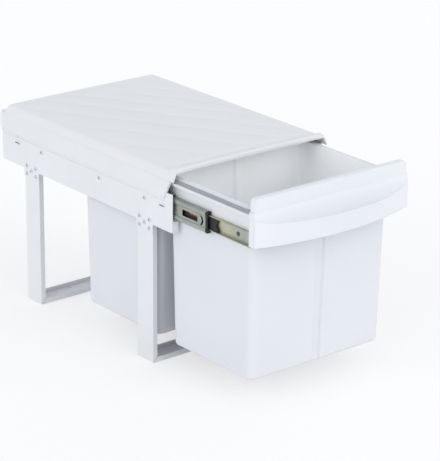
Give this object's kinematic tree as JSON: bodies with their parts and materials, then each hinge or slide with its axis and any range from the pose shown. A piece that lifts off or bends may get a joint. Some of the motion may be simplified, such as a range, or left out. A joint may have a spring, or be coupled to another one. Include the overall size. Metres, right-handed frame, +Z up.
{
  "type": "pull out bin frame",
  "caption": "Floor-standing frame with a fixed lid; a drawer on full-extension ball bearing slides carries open waste bins behind a bowed handle front.",
  "frame": {"origin": "under the middle of the whole object's outline, on the floor, with the drawer as in the picture", "axes": "+Z up, -Y the way the drawer pulls out (the handle's side), +X to the right seen from the handle"},
  "size_m": [0.337, 0.754, 0.368],
  "materials": {
    "white_steel": "white powder coat",
    "zinc_steel": "zinc plated sheet",
    "yellow_zinc": "yellow passivated zinc",
    "rivet_steel": "blind rivets",
    "ball_steel": "polished balls",
    "cage_steel": "stamped strip",
    "lid_plastic": "moulded, satin",
    "white_plastic": "moulded, satin gloss",
    "bin_plastic": "moulded, satin",
    "black_plastic": "moulded, black",
    "copper_strip": "spring strip",
    "grey_strip": "grey"
  },
  "bodies": {
    "frame": {"front_leg_frame": "white_steel", "rear_leg_frame": "white_steel", "rear_tie_bar": "white_steel", "tie_bar_rivets": "rivet_steel", "lid": "lid_plastic", "lid_screws": "zinc_steel", "left_side_panel": "white_steel", "left_top_rail": "white_steel", "left_leg_rivets": "rivet_steel", "left_slide_outer": "zinc_steel", "left_slide_rivets": "rivet_steel", "left_rear_stop": "black_plastic", "right_side_panel": "white_steel", "right_top_rail": "white_steel", "right_leg_rivets": "rivet_steel", "right_slide_outer": "zinc_steel", "right_slide_rivets": "rivet_steel", "right_rear_stop": "black_plastic"},
    "drawer": {"carrier_front_bar": "white_steel", "carrier_middle_bar": "white_steel", "carrier_rear_bar": "white_steel", "fascia": "white_plastic", "fascia_screws": "zinc_steel", "front_bin": "bin_plastic", "rear_bin": "bin_plastic", "left_slide_inner": "yellow_zinc", "left_inner_slide_rivets": "rivet_steel", "left_release_lever": "black_plastic", "left_lever_spring": "copper_strip", "left_carrier_rail": "white_steel", "left_rim_strip": "grey_strip", "right_slide_inner": "yellow_zinc", "right_inner_slide_rivets": "rivet_steel", "right_release_lever": "black_plastic", "right_lever_spring": "copper_strip", "right_carrier_rail": "white_steel", "right_rim_strip": "grey_strip"},
    "left_slide_middle": {"left_slide_middle": "zinc_steel", "left_slide_bumper": "black_plastic"},
    "left_outer_cage": {"left_outer_ball_cage": "cage_steel", "left_outer_balls": "ball_steel"},
    "left_inner_cage": {"left_inner_ball_cage": "cage_steel", "left_inner_balls": "ball_steel"},
    "right_slide_middle": {"right_slide_middle": "zinc_steel", "right_slide_bumper": "black_plastic"},
    "right_outer_cage": {"right_outer_ball_cage": "cage_steel", "right_outer_balls": "ball_steel"},
    "right_inner_cage": {"right_inner_ball_cage": "cage_steel", "right_inner_balls": "ball_steel"}
  },
  "joints": [
    {"name": "drawer_slide", "type": "slide", "parent": "frame", "child": "drawer", "axis": [0, -1, 0], "range_m": [-0.188, 0.252]},
    {"name": "left_slide_middle_run", "type": "slide", "parent": "frame", "child": "left_slide_middle", "axis": [0, -1, 0], "range_m": [-0.094, 0.126]},
    {"name": "left_outer_cage_run", "type": "slide", "parent": "frame", "child": "left_outer_cage", "axis": [0, -1, 0], "range_m": [-0.047, 0.063]},
    {"name": "left_inner_cage_run", "type": "slide", "parent": "frame", "child": "left_inner_cage", "axis": [0, -1, 0], "range_m": [-0.141, 0.189]},
    {"name": "right_slide_middle_run", "type": "slide", "parent": "frame", "child": "right_slide_middle", "axis": [0, -1, 0], "range_m": [-0.094, 0.126]},
    {"name": "right_outer_cage_run", "type": "slide", "parent": "frame", "child": "right_outer_cage", "axis": [0, -1, 0], "range_m": [-0.047, 0.063]},
    {"name": "right_inner_cage_run", "type": "slide", "parent": "frame", "child": "right_inner_cage", "axis": [0, -1, 0], "range_m": [-0.141, 0.189]}
  ],
  "couplings": [
    {"joint": "left_slide_middle_run", "follows": "drawer_slide", "ratio": 0.5},
    {"joint": "left_outer_cage_run", "follows": "drawer_slide", "ratio": 0.25},
    {"joint": "left_inner_cage_run", "follows": "drawer_slide", "ratio": 0.75},
    {"joint": "right_slide_middle_run", "follows": "drawer_slide", "ratio": 0.5},
    {"joint": "right_outer_cage_run", "follows": "drawer_slide", "ratio": 0.25},
    {"joint": "right_inner_cage_run", "follows": "drawer_slide", "ratio": 0.75}
  ]
}
